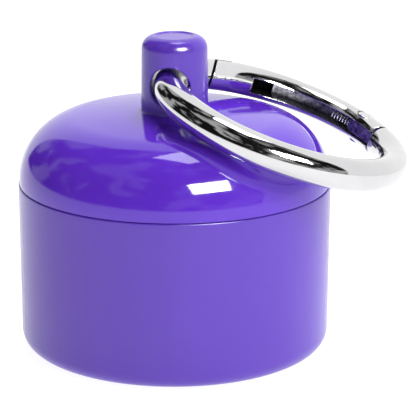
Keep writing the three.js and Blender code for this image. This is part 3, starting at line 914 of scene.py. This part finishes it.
# %% The surroundings
# The sweep is what lies under one sloping edge and to the right of another, in the sky's own axes.
SWEEP_SLOPE = (1.15, 2.5)
SWEEP_LEFT = 1.6
SWEEP_EDGE = 0.03
SWEEP_LEVEL = 1.15
ROOM_LEVEL = 0.01
HORIZON_FADE = (-0.02, 0.06)
CLUTTER_LEVEL = 0.5
CLUTTER_SIZE = 3.2
CLUTTER_EDGES = (0.5, 0.6)


def sky_value(tree, value, low, high):
    """0 below the low edge and 1 above the high one."""
    return add(tree, "ShaderNodeMapRange", {"Value": value, "From Min": low, "From Max": high}).outputs[0]


def make_surroundings():
    world = bpy.data.worlds.new("studio")
    bpy.context.scene.world = world
    world.use_nodes = True
    tree = world.node_tree
    look = add(tree, "ShaderNodeTexCoord")
    split = add(tree, "ShaderNodeSeparateXYZ", {"Vector": look.outputs["Generated"]})
    x, y, z = split.outputs
    slope = maths(tree, "MULTIPLY_ADD", x, SWEEP_SLOPE[0], maths(tree, "MULTIPLY", y, SWEEP_SLOPE[1]))
    top_edge = maths(tree, "SUBTRACT", slope, z)
    left_edge = maths(tree, "MULTIPLY_ADD", x, SWEEP_LEFT, y)
    sweep = sky_value(tree, maths(tree, "MINIMUM", top_edge, left_edge), -SWEEP_EDGE, SWEEP_EDGE)
    below = sky_value(tree, maths(tree, "MULTIPLY", z, -1.0), *HORIZON_FADE)
    field = add(tree, "ShaderNodeTexNoise", {
        "Vector": look.outputs["Generated"], "Scale": CLUTTER_SIZE, "Detail": 3.0})
    clutter = sky_value(tree, field.outputs["Fac"], *CLUTTER_EDGES)
    room = maths(tree, "MULTIPLY_ADD", clutter, CLUTTER_LEVEL, ROOM_LEVEL)
    white = maths(tree, "MULTIPLY", maths(tree, "MAXIMUM", sweep, below), SWEEP_LEVEL)
    level = maths(tree, "MAXIMUM", white, room)
    background = tree.nodes["Background"]
    tree.links.new(level, background.inputs["Strength"])
    background.inputs["Color"].default_value = (1, 1, 1, 1)


make_surroundings()


# %% The floor
# It glows a little, so that the ground stays white under the capsule's own shadow.
FLOOR_REACH = 1.5
FLOOR_DROP = 0.2 * MM
FLOOR_GLOW = 0.92


def make_floor():
    corners = [(-1, -1), (1, -1), (1, 1), (-1, 1)]
    floor = mesh_object("floor", [(x * FLOOR_REACH, y * FLOOR_REACH, 0) for x, y in corners], [(0, 1, 2, 3)])
    material, tree, shader = new_finish("pale floor", Roughness=0.9, Specular_IOR_Level=0.1)
    tone = blend_colours(tree, noise(tree, 8), (0.30, 0.30, 0.30), (0.32, 0.32, 0.32))
    tree.links.new(tone, shader.inputs["Base Color"])
    shader.inputs["Emission Color"].default_value = (1, 1, 1, 1)
    shader.inputs["Emission Strength"].default_value = FLOOR_GLOW
    floor.data.materials.append(material)
    placed(floor, Matrix.Translation((0, 0, -FLOOR_DROP)))
    return floor


floor = make_floor()
print("floor", round(2 * FLOOR_REACH, 1), "m wide")


# %% The lamps
def soft_box(name, azimuth, elevation, distance, width, height, power, gives):
    """A soft box that faces the capsule; azimuth 0 is behind it and 90 is to its right.

    It gives gloss or colour: a small bright box makes the shape of a highlight, and a large dim
    one lights the plastic evenly, so the two can be set apart from each other.
    """
    turn, lift = math.radians(azimuth), math.radians(elevation)
    direction = Vector((math.sin(turn) * math.cos(lift), math.cos(turn) * math.cos(lift), math.sin(lift)))
    data = bpy.data.lights.new(name, "AREA")
    data.shape = "RECTANGLE"
    data.size, data.size_y = width, height
    data.energy = power
    lamp = bpy.data.objects.new(name, data)
    lamp.location = Vector((0, 0, RIM_HEIGHT)) + distance * direction
    lamp.rotation_euler = direction.to_track_quat("Z", "Y").to_euler()
    lamp.visible_diffuse = gives == "colour"
    lamp.visible_glossy = gives == "gloss"
    bpy.context.scene.collection.objects.link(lamp)
    return lamp


# Name, azimuth and elevation in degrees, distance, width and height in metres, watts, what it gives
LAMPS = [
    ("key box", 151, 36, 0.45, 0.21, 0.13, 5.0, "gloss"),
    ("top box", 40, 81, 0.43, 0.16, 0.16, 0.5, "gloss"),
    ("overhead", 5, 68, 0.35, 0.12, 0.12, 0.8, "colour"),
    ("fill right", 142, 34, 0.6, 0.4, 0.4, 2.6, "colour"),
    ("fill left", 215, 30, 0.6, 0.5, 0.5, 0.2, "colour"),
]
for lamp in LAMPS:
    print("lamp", soft_box(*lamp).name)

# %% [markdown]
# ## Hanging the pieces on the frame
#
# Each finished piece rides on its body and stands for the plain solid it replaces.

# %% Ride and replace
PIECES = [
    (cup, "cup", "cup", "purple_plastic"),
    (washer, "seal", "seal_ring", "washer_silicone"),
    (lid, "lid", "lid", "purple_plastic"),
    (hoop, "ring", "ring_hoop", "ring_chrome"),
    (gate, "gate", "gate", "ring_chrome"),
    (rivet, "ring", "hinge_pin", "pin_steel"),
    (spring, "gate", "gate_spring", "spring_steel"),
]
for piece, body, node, slot in PIECES:
    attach(piece, body)
    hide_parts(node)
    triangles = sum(len(face.vertices) - 2 for face in piece.data.polygons)
    print(piece.name, "rides on", body, "with", triangles, "triangles")
